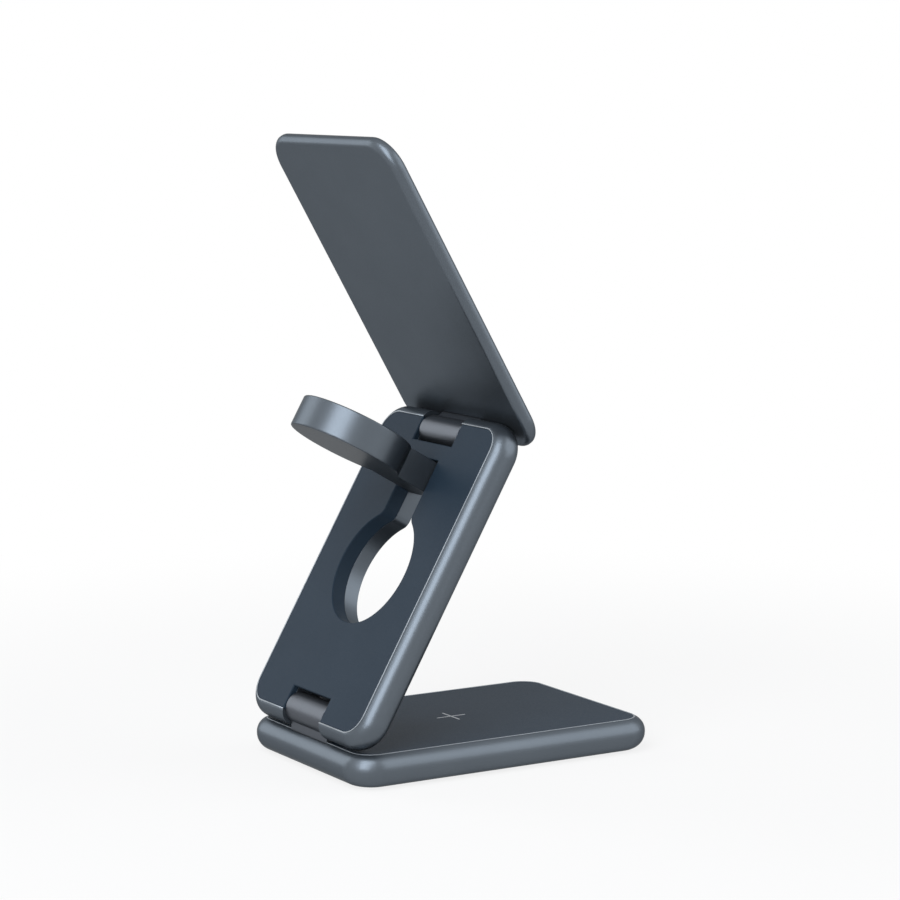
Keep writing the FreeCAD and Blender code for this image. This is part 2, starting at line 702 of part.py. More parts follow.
def make_middle():
    """The middle panel: tray, plate, keyhole walls, hinge cheeks, pins and relay board."""
    shell = tray("middle_shell", "middle", "(-middle_thick / 2)", "middle_thick", "floor_thick",
                 "plate_thick + plate_drop", "rim_round", "back_round")
    ears = new_sketch(shell, level=f"{MIDDLE_FLOOR} - floor_thick / 2")
    inner = "neck_width / 2 + collar_wall + plate_gap"
    for side in ("1", "-1"):
        draw_box(ears, f"{side} * ({inner})", f"{side} * ({inner} + ear_width)",
                 f"-{PIVOT_REACH} - ear_half", f"ear_half - {PIVOT_REACH}")
    add_pad(shell, ears, f"ear_rise - {MIDDLE_FLOOR} + floor_thick / 2")
    collar = new_sketch(shell, level=f"{MIDDLE_FLOOR} - floor_thick / 2")
    draw_keyhole(collar, "collar_wall")
    add_pad(shell, collar, f"floor_thick / 2 - {MIDDLE_FLOOR} - seat_gap / 2")
    cheeks = new_sketch(shell, level=f"{MIDDLE_FLOOR} - floor_thick / 2")
    for side in ("1", "-1"):
        draw_box(cheeks, f"-{CHEEK_OUTER}", CHEEK_OUTER, f"{side} * ({NOTCH_INNER} - notch_wall)",
                 f"{side} * (panel_length / 2 - rim_width)")
    add_pad(shell, cheeks, f"{MIDDLE_PLATE_UNDER} - {MIDDLE_FLOOR} + floor_thick / 2")
    keyhole = new_sketch(shell, level=MIDDLE_TOP)
    draw_keyhole(keyhole, "0")
    cut_pocket(shell, keyhole)
    for end in ("1", "-1"):
        notch = new_sketch(shell, level=MIDDLE_TOP)
        draw_notch(notch, end)
        cut_pocket(shell, notch)
        bore = new_sketch(shell, "YZ_Plane")
        draw_circle(bore, "pin_radius + press_gap", across=f"{end} * {AXIS_ALONG}")
        cut_pocket(shell, bore, f"2 * {CHEEK_OUTER} + cut_spare", centred=True)
        pocket = new_sketch(shell, "YZ_Plane")
        draw_circle(pocket, "bush_radius + running_gap", across=f"{end} * {AXIS_ALONG}")
        cut_pocket(shell, pocket, "notch_width + 2 * (bush_thick - bush_proud)", centred=True)
    groove = new_sketch(shell, "YZ_Plane")
    draw_circle(groove, "pivot_radius + running_gap", across=f"-{PIVOT_REACH}")
    cut_pocket(shell, groove, f"2 * ({inner} + ear_width) + cut_spare", centred=True)
    drop = new_sketch(shell, "YZ_Plane")
    slot = "(pivot_radius + running_gap)"
    draw_box(drop, f"-{PIVOT_REACH} - {slot}", f"{slot} - {PIVOT_REACH}", "0", "ear_rise + cut_spare")
    cut_pocket(shell, drop, f"2 * ({inner} + ear_width) + cut_spare", centred=True)
    raise_bosses(shell, MIDDLE_FLOOR, RELAY_SCREWS)

    plate = inset_plate("middle_plate", "middle", MIDDLE_PLATE_UNDER, "plate_thick")
    skirt = new_sketch(plate, level="seat_gap / 2")
    draw_keyhole(skirt, "collar_wall")
    add_pad(plate, skirt, f"{MIDDLE_PLATE_UNDER} + plate_thick / 2 - seat_gap / 2")
    opening = new_sketch(plate, level=MIDDLE_TOP)
    draw_keyhole(opening, "0")
    cut_pocket(plate, opening)
    for end in ("1", "-1"):
        notch = new_sketch(plate, level=MIDDLE_TOP)
        draw_notch(notch, end)
        cut_pocket(plate, notch)
    saddle = new_sketch(plate, "YZ_Plane")
    draw_circle(saddle, "pivot_radius + running_gap", across=f"-{PIVOT_REACH}")
    cut_pocket(plate, saddle, "neck_width + 2 * collar_wall + cut_spare", centred=True)

    for name, end in (("lower", "1"), ("upper", "-1")):
        along = f"{end} * {AXIS_ALONG}"
        starts = {"left": f"-{CHEEK_OUTER}", "right": f"{CHEEK_OUTER} - pin_length"}
        for side, start in starts.items():
            rod(f"{name}_hinge_pin_{side}", "middle", start, "pin_length", "pin_radius", along)
        seat = "(notch_width / 2 + bush_thick - bush_proud)"
        starts = {"left": f"-{seat}", "right": f"{seat} - bush_thick"}
        for side, start in starts.items():
            rod(f"{name}_hinge_bush_{side}", "middle", start, "bush_thick", "bush_radius", along,
                "pin_radius + running_gap")
    rod("arm_pivot_pin", "middle", f"-({inner} + ear_width)", f"2 * ({inner} + ear_width)",
        "pivot_radius", f"-{PIVOT_REACH}")

    board = new_piece("relay_board", "middle")
    outline = new_sketch(board, level=RELAY_UNDER)
    draw_box(outline, "-relay_half_width", "relay_half_width", RELAY_NEAR, RELAY_FAR)
    add_pad(board, outline, "board_thick")
    cut_holes(board, f"{RELAY_UNDER} + board_thick", "screw_radius + running_gap", RELAY_SCREWS,
              "board_thick")
    level = f"{RELAY_UNDER} + board_thick + seat_gap"
    block_group("relay_chip", "middle", level, "chip_thick", "relay_chip",
                [("0", RELAY_MIDDLE)])
    depth = "(board_thick + board_rise + floor_thick - pad_recess - blind_skin)"
    screw_group("relay_screws", "middle", f"{level} - {depth}", depth, level, "board_head_thick",
                "screw_head", RELAY_SCREWS)


def make_arm():
    """The watch arm, drawn lying in the keyhole with its pivot at the origin."""
    under = "(-arm_thick / 2)"
    shell = new_piece("watch_arm_shell", "arm")
    disc = new_sketch(shell, level=under)
    draw_circle(disc, "puck_radius", along=PIVOT_REACH)
    add_pad(shell, disc, "arm_thick")
    soften_level(shell, under, "puck_edge", "Chamfer")
    soften_level(shell, "arm_thick / 2", "puck_edge", "Chamfer")
    half = "(neck_width / 2 - arm_gap)"
    beam = new_sketch(shell, level=under)
    draw_box(beam, f"-{half}", half, "0", f"{PIVOT_REACH} - puck_radius / 2")
    add_pad(shell, beam, "arm_thick")
    end = new_sketch(shell, "YZ_Plane")
    draw_circle(end, "arm_thick / 2")
    add_pad(shell, end, f"2 * {half}", centred=True)
    bore = new_sketch(shell, "YZ_Plane")
    draw_circle(bore, "pivot_radius + running_gap")
    cut_pocket(shell, bore, f"2 * {half} + cut_spare", centred=True)
    cavity_radius = "(puck_radius - puck_wall)"
    places = [("0", PIVOT_REACH)]
    top = "arm_thick / 2"
    cut_holes(shell, top, f"{cavity_radius} + cap_lap", places, "cap_thick + seat_gap")
    cut_holes(shell, top, cavity_radius, places, "arm_thick - puck_floor")

    floor = "(puck_floor - arm_thick / 2 + seat_gap)"
    inner = f"{cavity_radius} - watch_inner_gap"
    ferrite = f"({floor} + watch_board_thick + seat_gap)"
    coil = f"({ferrite} + watch_ferrite_thick + seat_gap)"
    ring("watch_board", "arm", floor, "watch_board_thick", inner, None, PIVOT_REACH)
    ring("watch_ferrite", "arm", ferrite, "watch_ferrite_thick", inner, None, PIVOT_REACH)
    ring("watch_coil", "arm", coil, "watch_coil_thick", "watch_coil_outer", "watch_coil_inner",
         PIVOT_REACH)
    ring("watch_magnet", "arm", coil, "watch_coil_thick", "watch_magnet_radius", None,
         PIVOT_REACH)
    ring("watch_cap", "arm", "arm_thick / 2 - cap_thick", "cap_thick",
         f"{cavity_radius} + cap_lap - plate_gap", None, PIVOT_REACH)


def make_phone():
    """The thin phone panel: tray, plate, coil, magnets and the upper hinge knuckle."""
    shell = tray("phone_shell", "phone", "(-phone_thick / 2)", "phone_thick", "phone_floor",
                 "phone_plate_thick", "phone_round", "phone_round")
    slot = new_sketch(shell, level=f"{PHONE_FLOOR} + phone_foot_thick + 2 * seat_gap")
    draw_leaf_slot(slot, "-1")
    cut_pocket(shell, slot)
    hole_depth = "phone_screw_sink + seat_gap"
    cut_holes(shell, PHONE_FLOOR, "screw_radius + running_gap", PHONE_SCREWS, hole_depth)
    inset_plate("phone_plate", "phone", PHONE_PLATE_UNDER, "phone_plate_thick")

    low = f"{PHONE_FLOOR} + seat_gap"
    magnets = ring("magnet_ring", "phone", low, "phone_ring_thick", RING_OUTER, RING_INNER,
                   "phone_ring_along")
    slit = new_sketch(magnets, level=f"{low} + phone_ring_thick")
    draw_box(slit, f"{RING_INNER} - cut_spare", f"{RING_OUTER} + cut_spare",
             "phone_ring_along - phone_ring_slit / 2", "phone_ring_along + phone_ring_slit / 2")
    cut_slits(magnets, slit)
    guide_far = f"phone_ring_along - {RING_OUTER} - guide_magnet_space"
    guide = new_piece("guide_magnet", "phone")
    bar = new_sketch(guide, level=low)
    draw_box(bar, "-guide_magnet_width / 2", "guide_magnet_width / 2",
             f"{guide_far} - guide_magnet_height", guide_far)
    add_pad(guide, bar, "phone_ring_thick")
    ring("phone_ferrite", "phone", low, "phone_ferrite_thick", PHONE_FERRITE_RADIUS, None,
         "phone_ring_along")
    ring("phone_coil", "phone", f"{low} + phone_ferrite_thick + seat_gap", "phone_coil_thick",
         PHONE_COIL_OUTER, "phone_coil_inner", "phone_ring_along")

    reach = f"{AXIS_RISE} + phone_floor + seat_gap + phone_foot_thick"
    knuckle("upper_hinge_knuckle", "upper_axis", reach, "phone_foot_thick", "phone_foot_length",
            "phone_screw_along")
    foot_top = f"{PHONE_FLOOR} + seat_gap + phone_foot_thick"
    screw_group("upper_hinge_screws", "phone", f"{PHONE_FLOOR} - phone_screw_sink",
                "phone_screw_sink + seat_gap + phone_foot_thick", foot_top, "phone_head_thick",
                "screw_head", PHONE_SCREWS)


def cut_slits(piece, slit):
    """Radial slits, evenly turned about the ring's own centre, that part it into segments."""
    centre = f"{PHONE_FLOOR}"
    first = number("phone_ring_along")
    piece.AllowCompound = True
    before = piece.Shape.Volume
    feature = piece.newObject("PartDesign::Pocket", piece.Name + "_slit")
    feature.Profile = slit
    feature.Type = "ThroughAll"
    doc.recompute()
    axis = piece.newObject("PartDesign::Line", piece.Name + "_axis")
    axis.MapMode = "Deactivated"
    axis.Placement = FreeCAD.Placement(FreeCAD.Vector(0, first, number(centre)), FreeCAD.Rotation())
    axis.setExpression("Placement.Base.y", bound("phone_ring_along"))
    pattern = piece.newObject("PartDesign::PolarPattern", piece.Name + "_pattern")
    pattern.Originals = [feature]
    pattern.Axis = (axis, [""])
    pattern.Angle = 360
    pattern.setExpression("Occurrences", bound("phone_ring_count"))
    piece.Tip = pattern
    doc.recompute()
    if piece.Shape.Volume > before - 1e-6:
        raise ValueError("the slits miss the magnet ring")


make_base()
make_middle()
make_arm()
make_phone()
doc.recompute()

pieces = [item for item in doc.Objects if item.TypeId == "PartDesign::Body"]
for item in doc.Objects:
    if "Invalid" in item.State or "Error" in item.State:
        raise ValueError(item.Name + " did not rebuild")
for piece in pieces:
    if piece.Shape.isNull() or not piece.Shape.isValid():
        raise ValueError(piece.Label + " has no valid shape")

os.makedirs("parts", exist_ok=True)
for piece in pieces:
    piece.Shape.exportStep(f"parts/{piece.Label}.step")
print(len(pieces), "pieces written")
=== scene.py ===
# Folding wireless charging stand: finishes, fine trim, studio and camera around the fixed model.
import bmesh
import bpy
import json
import math
import numpy as np
from mathutils import Matrix, Vector


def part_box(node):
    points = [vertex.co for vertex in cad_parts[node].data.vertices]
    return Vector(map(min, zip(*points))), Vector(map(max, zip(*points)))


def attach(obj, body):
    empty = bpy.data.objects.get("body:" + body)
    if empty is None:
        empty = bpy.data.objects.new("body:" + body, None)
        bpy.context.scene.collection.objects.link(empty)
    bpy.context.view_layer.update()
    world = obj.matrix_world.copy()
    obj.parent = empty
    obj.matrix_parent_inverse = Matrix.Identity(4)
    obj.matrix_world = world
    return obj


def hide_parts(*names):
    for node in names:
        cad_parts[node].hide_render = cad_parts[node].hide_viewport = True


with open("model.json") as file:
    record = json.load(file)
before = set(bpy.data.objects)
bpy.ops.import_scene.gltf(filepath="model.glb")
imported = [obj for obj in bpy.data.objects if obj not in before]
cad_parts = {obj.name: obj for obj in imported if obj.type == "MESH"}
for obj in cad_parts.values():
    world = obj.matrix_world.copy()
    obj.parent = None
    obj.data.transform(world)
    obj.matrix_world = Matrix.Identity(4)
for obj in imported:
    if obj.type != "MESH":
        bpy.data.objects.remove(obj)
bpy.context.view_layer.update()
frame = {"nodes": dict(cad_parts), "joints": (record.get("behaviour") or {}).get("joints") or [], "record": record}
nodes = frame["nodes"]
mounts = {mount["name"]: mount for mount in frame["record"]["mounts"]}
joints = {joint["name"]: joint for joint in frame["joints"]}
mm = 0.001
print("stage: frame loaded,", len(nodes), "nodes")


# Small tools

def hexToLinear(text):  # "#RRGGBB" as sRGB, returned as a linear RGBA tuple
    channels = [int(text[i:i + 2], 16) / 255 for i in (1, 3, 5)]
    linear = [c / 12.92 if c <= 0.04045 else ((c + 0.055) / 1.055) ** 2.4 for c in channels]
    return (*linear, 1.0)


def addNode(tree, kind, settings=None, inputs=None, links=None):
    node = tree.nodes.new(kind)
    for name, value in (settings or {}).items():
        setattr(node, name, value)
    for name, value in (inputs or {}).items():
        node.inputs[name].default_value = value
    for name, socket in (links or {}).items():
        tree.links.new(socket, node.inputs[name])
    return node


# Cloud size in mm, the part of the noise's range that is used, and how fine its steps go
noise = {"cloud": 12.0, "low": 0.3, "high": 0.7, "cloudDetail": 3.0, "gritDetail": 2.0}
seamGap = 0.0001  # mm: points of a new piece that lie closer than this are one


def startMaterial(name, metallic, specular, edge):
    # A shader joined to the output; edge dims a metal's reflection where it is seen at a slant
    material = bpy.data.materials.new(name)
    material.use_nodes = True
    tree = material.node_tree
    tree.nodes.clear()
    shader = addNode(tree, "ShaderNodeBsdfPrincipled",
                     inputs={"Metallic": metallic, "Specular IOR Level": specular,
                             "Specular Tint": (edge, edge, edge, 1.0)})
    addNode(tree, "ShaderNodeOutputMaterial", links={"Surface": shader.outputs["BSDF"]})
    return material, tree, shader


def grainedMaterial(name, light, dark, roughness, grain, bump,
                    metallic=0.0, specular=0.5, edge=1.0):
    # Two close tones drift over the piece in soft clouds; a fine grain breaks up the gloss and
    # lifts the surface. The grain's size and height are in millimetres. The real grit, under
    # a tenth of a millimetre, is too fine to show in the render, so it is drawn coarser.
    material, tree, shader = startMaterial(name, metallic, specular, edge)
    place = addNode(tree, "ShaderNodeTexCoord")
    drift = addNode(tree, "ShaderNodeTexNoise",
                    inputs={"Scale": 1 / (noise["cloud"] * mm), "Detail": noise["cloudDetail"]},
                    links={"Vector": place.outputs["Object"]})
    tone = addNode(tree, "ShaderNodeValToRGB", links={"Fac": drift.outputs["Fac"]})
    tone.color_ramp.elements[0].position = noise["low"]
    tone.color_ramp.elements[1].position = noise["high"]
    tone.color_ramp.elements[0].color = hexToLinear(dark)
    tone.color_ramp.elements[1].color = hexToLinear(light)
    tree.links.new(tone.outputs["Color"], shader.inputs["Base Color"])
    grit = addNode(tree, "ShaderNodeTexNoise",
                   inputs={"Scale": 1 / (grain * mm), "Detail": noise["gritDetail"]},
                   links={"Vector": place.outputs["Object"]})
    gloss = addNode(tree, "ShaderNodeMapRange", links={"Value": grit.outputs["Fac"]},
                    inputs={"From Min": noise["low"], "From Max": noise["high"],
                            "To Min": roughness[0], "To Max": roughness[1]})
    tree.links.new(gloss.outputs["Result"], shader.inputs["Roughness"])
    lift = addNode(tree, "ShaderNodeBump", inputs={"Strength": 1.0, "Distance": bump * mm},
                   links={"Height": grit.outputs["Fac"]})
    tree.links.new(lift.outputs["Normal"], shader.inputs["Normal"])
    return material


def gridMesh(name, points, wrapRows=False):
    # A mesh from an (rows, columns, 3) array of points in metres: columns close on themselves,
    # rows do too if asked. Quads join each point to the next along both ways.
    rows, columns = points.shape[:2]
    lastRow = rows if wrapRows else rows - 1
    i, j = np.meshgrid(np.arange(lastRow), np.arange(columns), indexing="ij")
    a = i * columns + j
    b = i * columns + (j + 1) % columns
    c = ((i + 1) % rows) * columns + (j + 1) % columns
    d = ((i + 1) % rows) * columns + j
    quads = np.stack([a, b, c, d], axis=-1).reshape(-1, 4)
    mesh = bpy.data.meshes.new(name)
    mesh.from_pydata(points.reshape(-1, 3).tolist(), [], quads.tolist())
    mesh.update()
    return mesh


def finishPiece(name, mesh, material, body, sharpAngle=None):
    # Doubles merged, normals outward, smooth shading with creases kept past an angle
    work = bmesh.new()
    work.from_mesh(mesh)
    bmesh.ops.remove_doubles(work, verts=work.verts, dist=seamGap * mm)
    bmesh.ops.recalc_face_normals(work, faces=work.faces)
    work.to_mesh(mesh)
    work.free()
    mesh.shade_smooth()
    if sharpAngle is not None:
        mesh.set_sharp_from_angle(angle=math.radians(sharpAngle))
    mesh.materials.clear()
    mesh.materials.append(material)
    piece = bpy.data.objects.new(name, mesh)
    bpy.context.scene.collection.objects.link(piece)
    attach(piece, body)
    return piece


def panelFrame(origin, upward):  # matrix of a panel's own frame: X across, Z out of its face
    across = Vector((1, 0, 0))
    up = Vector(upward).normalized()
    along = up.cross(across)
    turn = Matrix((across, along, up)).transposed().to_4x4()
    return Matrix.Translation(Vector(origin)) @ turn


def placed(points, matrix):  # a points array carried from a panel's frame to the row's
    turn = np.array(matrix.to_3x3())
    return points @ turn.T + np.array(matrix.translation)


# Panel frames, worked out from the joints and mounts

def faceOf(nodeName, origin, upward):  # the frame of a flat piece's own face, found from its points
    points = np.empty(len(nodes[nodeName].data.vertices) * 3)
    nodes[nodeName].data.vertices.foreach_get("co", points)
    up = np.array(Vector(upward).normalized())
    height = float((points.reshape(-1, 3) @ up).max() - np.array(origin) @ up)
    return panelFrame(Vector(origin) + height * Vector(upward).normalized(), upward)


lowerAxis = Vector(joints["lower_fold"]["pos_m"])
upperAxis = Vector(joints["upper_fold"]["pos_m"])
climb = (upperAxis - lowerAxis).normalized()
middleNormal = Vector((1, 0, 0)).cross(-climb)
halfWidth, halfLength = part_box("base_shell")[1].xy
baseFace = faceOf("base_top_plate", (0, 0, 0), (0, 0, 1))
middleFace = faceOf("middle_plate", (lowerAxis + upperAxis) / 2, middleNormal)
phoneFace = panelFrame(mounts["phone_face"]["pos_m"], mounts["phone_face"]["axis"])
watchFace = panelFrame(mounts["watch_face"]["pos_m"], mounts["watch_face"]["axis"])


# Finishes

# Fine-blasted, slate-grey anodised aluminium: a satin skin whose highlights run as soft bands
shellMetal = grainedMaterial("blastedAnodisedAluminium", "#5C636A", "#5A6168", (0.32, 0.38), 0.35,
                             0.001, metallic=0.85, specular=0.2, edge=0.36)
# The same skin on the turned hinge barrels, a shade darker and more neutral than the shells
hingeMetal = grainedMaterial("turnedAnodisedAluminium", "#575B61", "#55595F", (0.33, 0.39), 0.35,
                             0.001, metallic=0.85, specular=0.2, edge=0.48)
# Soft-touch paint on ABS: nearly no gloss, so the plates read as flat dark blue-grey fields
platePlastic = grainedMaterial("softTouchAbs", "#202D39", "#1E2B37", (0.58, 0.66), 0.30, 0.002,
                               specular=0.12)
# A cut made with a diamond tool after anodising: the bare metal draws a thin bright line. Its light tone is partly
# painted highlight, standing in for the glint along the chamfer
edgeMetalWithPaintedHighlight = grainedMaterial("diamondCutAluminiumWithPaintedHighlight", "#868C92", "#82888E", (0.5, 0.56), 0.5, 0.001,
                            metallic=1.0)
# Pad-printed ink: a flat pale sign that doesn't shine
markInk = grainedMaterial("printedGreyInk", "#B8BCC0", "#B0B4B8", (0.45, 0.5), 0.2, 0.001)
# Matt silicone: takes the light evenly and hides the pad against the shell
silicone = grainedMaterial("mattSilicone", "#2C2E31", "#28292C", (0.7, 0.8), 0.4, 0.01)
# Polished polycarbonate: the one glossy face, with a clear reflection in its dish
capPlastic = grainedMaterial("glossPolycarbonate", "#26292E", "#22252A", (0.12, 0.16), 0.5, 0.001)
# Solder mask over glass laminate: a green board with a slight lacquer gloss
boardLaminate = grainedMaterial("solderMaskLaminate", "#1F5A38", "#1A4F31", (0.3, 0.4), 0.6, 0.004)
# Moulded epoxy: the dull black block of a chip
chipResin = grainedMaterial("mouldedEpoxy", "#222325", "#1D1E20", (0.55, 0.65), 0.2, 0.004)
# Pressed ferrite: a grey, slightly gritty block
inductorCore = grainedMaterial("pressedFerrite", "#3C3D40", "#343538", (0.6, 0.7), 0.3, 0.01)
# Fired ceramic: a small tan block with a faint sheen
ceramic = grainedMaterial("firedCeramic", "#A08A6A", "#937E60", (0.4, 0.5), 0.2, 0.002)
# Enamelled wire: warm, bright copper
copper = grainedMaterial("enamelledCopper", "#C47A50", "#B66F47", (0.25, 0.35), 0.4, 0.01,
                         metallic=1.0)
# Sintered ferrite: a dark matt disc that sets off the coil in front of it
ferrite = grainedMaterial("sinteredFerrite", "#35363A", "#2E2F33", (0.6, 0.7), 0.4, 0.01)
# Nickel plate on magnets: bright, smooth and a little warm
nickel = grainedMaterial("nickelPlate", "#C9C8C2", "#BDBCB6", (0.15, 0.22), 0.5, 0.001,
                         metallic=1.0)
# Ground steel pins and screws: neutral grey with a tight highlight
steel = grainedMaterial("groundSteel", "#A9ABAE", "#9C9EA1", (0.25, 0.35), 0.3, 0.002,
                        metallic=1.0)
# Turned bronze bushes: a yellow-brown ring round each pin
bronze = grainedMaterial("turnedBronze", "#B08A50", "#A27E48", (0.3, 0.4), 0.3, 0.002,
                         metallic=1.0)
# Drawn stainless steel: the bright lip of the power inlet
drawnSteel = grainedMaterial("drawnStainless", "#B9BBBD", "#AEB0B2", (0.2, 0.3), 0.3, 0.001,
                             metallic=1.0)
# Moulded nylon: the black tongue inside the inlet
blackPlastic = grainedMaterial("mouldedNylon", "#1B1B1C", "#171718", (0.5, 0.6), 0.3, 0.003)
print("stage: finishes made")

slotFinishes = {
    "shell_aluminium": shellMetal,
    "hinge_metal": hingeMetal,
    "plate_plastic": platePlastic,
    "cap_plastic": capPlastic,
    "foot_silicone": silicone,
    "pin_steel": steel,
    "bush_bronze": bronze,
    "screw_steel": steel,
    "circuit_board": boardLaminate,
    "chip_resin": chipResin,
    "inductor_ferrite": inductorCore,
    "capacitor_ceramic": ceramic,
    "coil_copper": copper,
    "ferrite_sheet": ferrite,
    "magnet_nickel": nickel,
    "socket_steel": drawnSteel,
    "tongue_plastic": blackPlastic,
}
slotOf = {part["node"]: part["material_slot"] for part in frame["record"]["subparts"]}
for name, node in nodes.items():
    node.data.materials.clear()
    node.data.materials.append(slotFinishes[slotOf[name]])
print("stage: finishes on the inner pieces")


# Outer pieces: the solid's own mesh, merged, with its sharp edges broken as a file or mould would

# Widths of the broken edge in mm. A wider one on the middle shell makes its mesh overlap.
softEdges = {
    "base_shell": {"body": "base", "break": 0.12},
    "middle_shell": {"body": "middle_panel", "break": 0.03},
    "phone_shell": {"body": "phone_panel", "break": 0.12},
    "watch_arm_shell": {"body": "watch_arm", "break": 0.2},
    "base_top_plate": {"body": "base", "break": 0.1},
    "middle_plate": {"body": "middle_panel", "break": 0.35, "fine": 0.08, "face": middleFace},
    "phone_plate": {"body": "phone_panel", "break": 0.1},
    "base_foot_pad": {"body": "base", "break": 0.25},
    "lower_hinge_knuckle": {"body": "base", "break": 0.2},
    "upper_hinge_knuckle": {"body": "phone_panel", "break": 0.2},
}
# Degrees: faces that are joined as flat, edges that are broken, creases kept in the shading.
# Mm: points that are merged, and how near its face a piece's edge counts as in it.
edgeRules = {"merge": 0.001, "flat": 0.3, "sharp": 35, "crease": 28, "inFace": 0.02,
             "segments": 3, "normalWeight": 80}


def brokenEdgePiece(nodeName, settings):
    work = bmesh.new()
    work.from_mesh(nodes[nodeName].data)
    bmesh.ops.remove_doubles(work, verts=work.verts, dist=edgeRules["merge"] * mm)
    bmesh.ops.dissolve_limit(work, angle_limit=math.radians(edgeRules["flat"]),
                             verts=work.verts, edges=work.edges)
    weight = work.edges.layers.float.new("bevel_weight_edge")
    toFace = settings["face"].inverted() if "face" in settings else None
    for edge in work.edges:
        if edge.calc_face_angle(0.0) <= math.radians(edgeRules["sharp"]):
            continue
        edge[weight] = 1.0
        if toFace is not None:  # away from the piece's face the break is finer
            depth = max(abs((toFace @ corner.co).z) for corner in edge.verts)
            if depth >= edgeRules["inFace"] * mm:
                edge[weight] = settings["fine"] / settings["break"]
    mesh = bpy.data.meshes.new(nodeName + "_outer")
    work.to_mesh(mesh)
    work.free()
    mesh.shade_smooth()
    mesh.set_sharp_from_angle(angle=math.radians(edgeRules["crease"]))
    mesh.materials.append(slotFinishes[slotOf[nodeName]])
    piece = bpy.data.objects.new(nodeName + "_outer", mesh)
    bpy.context.scene.collection.objects.link(piece)
    bevel = piece.modifiers.new("brokenEdge", "BEVEL")
    bevel.width = settings["break"] * mm
    bevel.segments = edgeRules["segments"]
    bevel.limit_method = "WEIGHT"
    bevel.harden_normals = True
    bevel.use_clamp_overlap = False
    even = piece.modifiers.new("evenNormals", "WEIGHTED_NORMAL")
    even.keep_sharp = True
    even.weight = edgeRules["normalWeight"]
    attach(piece, settings["body"])
    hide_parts(nodeName)


for nodeName, settings in softEdges.items():
    brokenEdgePiece(nodeName, settings)
print("stage: outer pieces made")


# The bright cut edge between each shell and its plate, its brightness partly painted highlight

# Lengths in mm: the band lies on the seam between shell and plate
rimTrim = {"inset": 2.92, "corner": 5.88, "halfBand": 0.2, "height": 0.12,
           "notchHalf": 9.9, "arcSteps": 24, "bandSteps": 16}
phoneRimHeight = 0.08


def rimPath(inset, corner, steps, breakHalf=None):
    # Centre line of the rim as arcs joined by straight runs. Whole, it closes on itself; with a
    # break it is the right-hand half from one notch to the other.
    wide, long = halfWidth - inset * mm, halfLength - inset * mm
    radius = corner * mm
    turns = np.linspace(0, math.pi / 2, steps)
    sides = [(1, 1, 0), (-1, 1, 1), (-1, -1, 2), (1, -1, 3)]
    arcs = []
    for sx, sy, quarter in sides:
        angle = turns + quarter * math.pi / 2
        centre = np.array([sx * (wide - radius), sy * (long - radius)])
        out = np.stack([np.cos(angle), np.sin(angle)], axis=-1)
        arcs.append((centre + radius * out, out))
    if breakHalf is None:
        line = np.concatenate([arc[0] for arc in arcs])
        out = np.concatenate([arc[1] for arc in arcs])
        return line, out
    start = np.array([[breakHalf * mm, -long]])
    end = np.array([[breakHalf * mm, long]])
    line = np.concatenate([start, arcs[3][0], arcs[0][0], end])
    out = np.concatenate([[[0, -1]], arcs[3][1], arcs[0][1], [[0, 1]]])
    return line, out


def rimBand(name, settings, matrix, body, closed, hand=1):
    # A flat oval carried along the rim: the cosine of its angle gives the width in the panel's
    # plane, the sine the height, so half of it is sunk. An open band ends in a point at each end.
    breakHalf = None if closed else settings["notchHalf"]
    line, out = rimPath(settings["inset"], settings["corner"], settings["arcSteps"], breakHalf)
    angle = np.linspace(0, 2 * math.pi, settings["bandSteps"], endpoint=False)
    reach = settings["halfBand"] * mm * np.cos(angle)
    rise = settings["height"] * mm * np.sin(angle)
    scale = np.ones(len(line))
    if not closed:
        line = np.concatenate([line[:1], line, line[-1:]])
        out = np.concatenate([out[:1], out, out[-1:]])
        scale = np.concatenate([[0], scale, [0]])
    flat = line[:, None, :] + out[:, None, :] * (reach[None, :] * scale[:, None])[:, :, None]
    height = rise[None, :] * scale[:, None]
    points = np.concatenate([flat, height[:, :, None]], axis=-1)
    points[:, :, 0] *= hand
    mesh = gridMesh(name, placed(points, matrix), wrapRows=closed)
    finishPiece(name, mesh, edgeMetalWithPaintedHighlight, body)


for hand, side in ((1, "right"), (-1, "left")):
    rimBand("middle_rim_" + side, rimTrim, middleFace, "middle_panel", False, hand)
rimBand("phone_rim", dict(rimTrim, height=phoneRimHeight), phoneFace, "phone_panel", True)
rimBand("base_rim", rimTrim, baseFace, "base", True)
print("stage: rims made")


# The thin plus sign on the base plate

# Lengths in mm, and the number of points along and round a bar
markSettings = {"arm": 4.55, "halfWidth": 0.25, "height": 0.05, "steps": 49, "round": 12}


def markBar(name, settings, turned):
    # One bar of the sign: a flat oval, half sunk, carried along a line. Width and height fall away
    # towards both ends as the square root of the length that is left.
    along = np.linspace(-1, 1, settings["steps"])
    around = np.linspace(0, 2 * math.pi, settings["round"], endpoint=False)
    arm, half = settings["arm"] * mm, settings["halfWidth"] * mm
    taper = np.sqrt(np.clip((1 - np.abs(along)) * arm / half, 0, 1))
    x = np.repeat(along[:, None] * arm, len(around), axis=1)
    y = taper[:, None] * half * np.cos(around)[None, :]
    z = taper[:, None] * settings["height"] * mm * np.sin(around)[None, :]
    points = np.stack([y, x, z] if turned else [x, y, z], axis=-1)
    mesh = gridMesh(name, placed(points, baseFace))
    finishPiece(name, mesh, markInk, "base")


markBar("earbud_mark_across", markSettings, False)
markBar("earbud_mark_along", markSettings, True)
print("stage: mark made")


# The puck's cap: a shallow dish with a rolled edge

# Lengths in mm, the crease in degrees
capSettings = {"dish": 0.45, "edge": 0.5, "thick": 1.55, "rings": 40, "spokes": 96,
               "rollSteps": 8, "crease": 40}


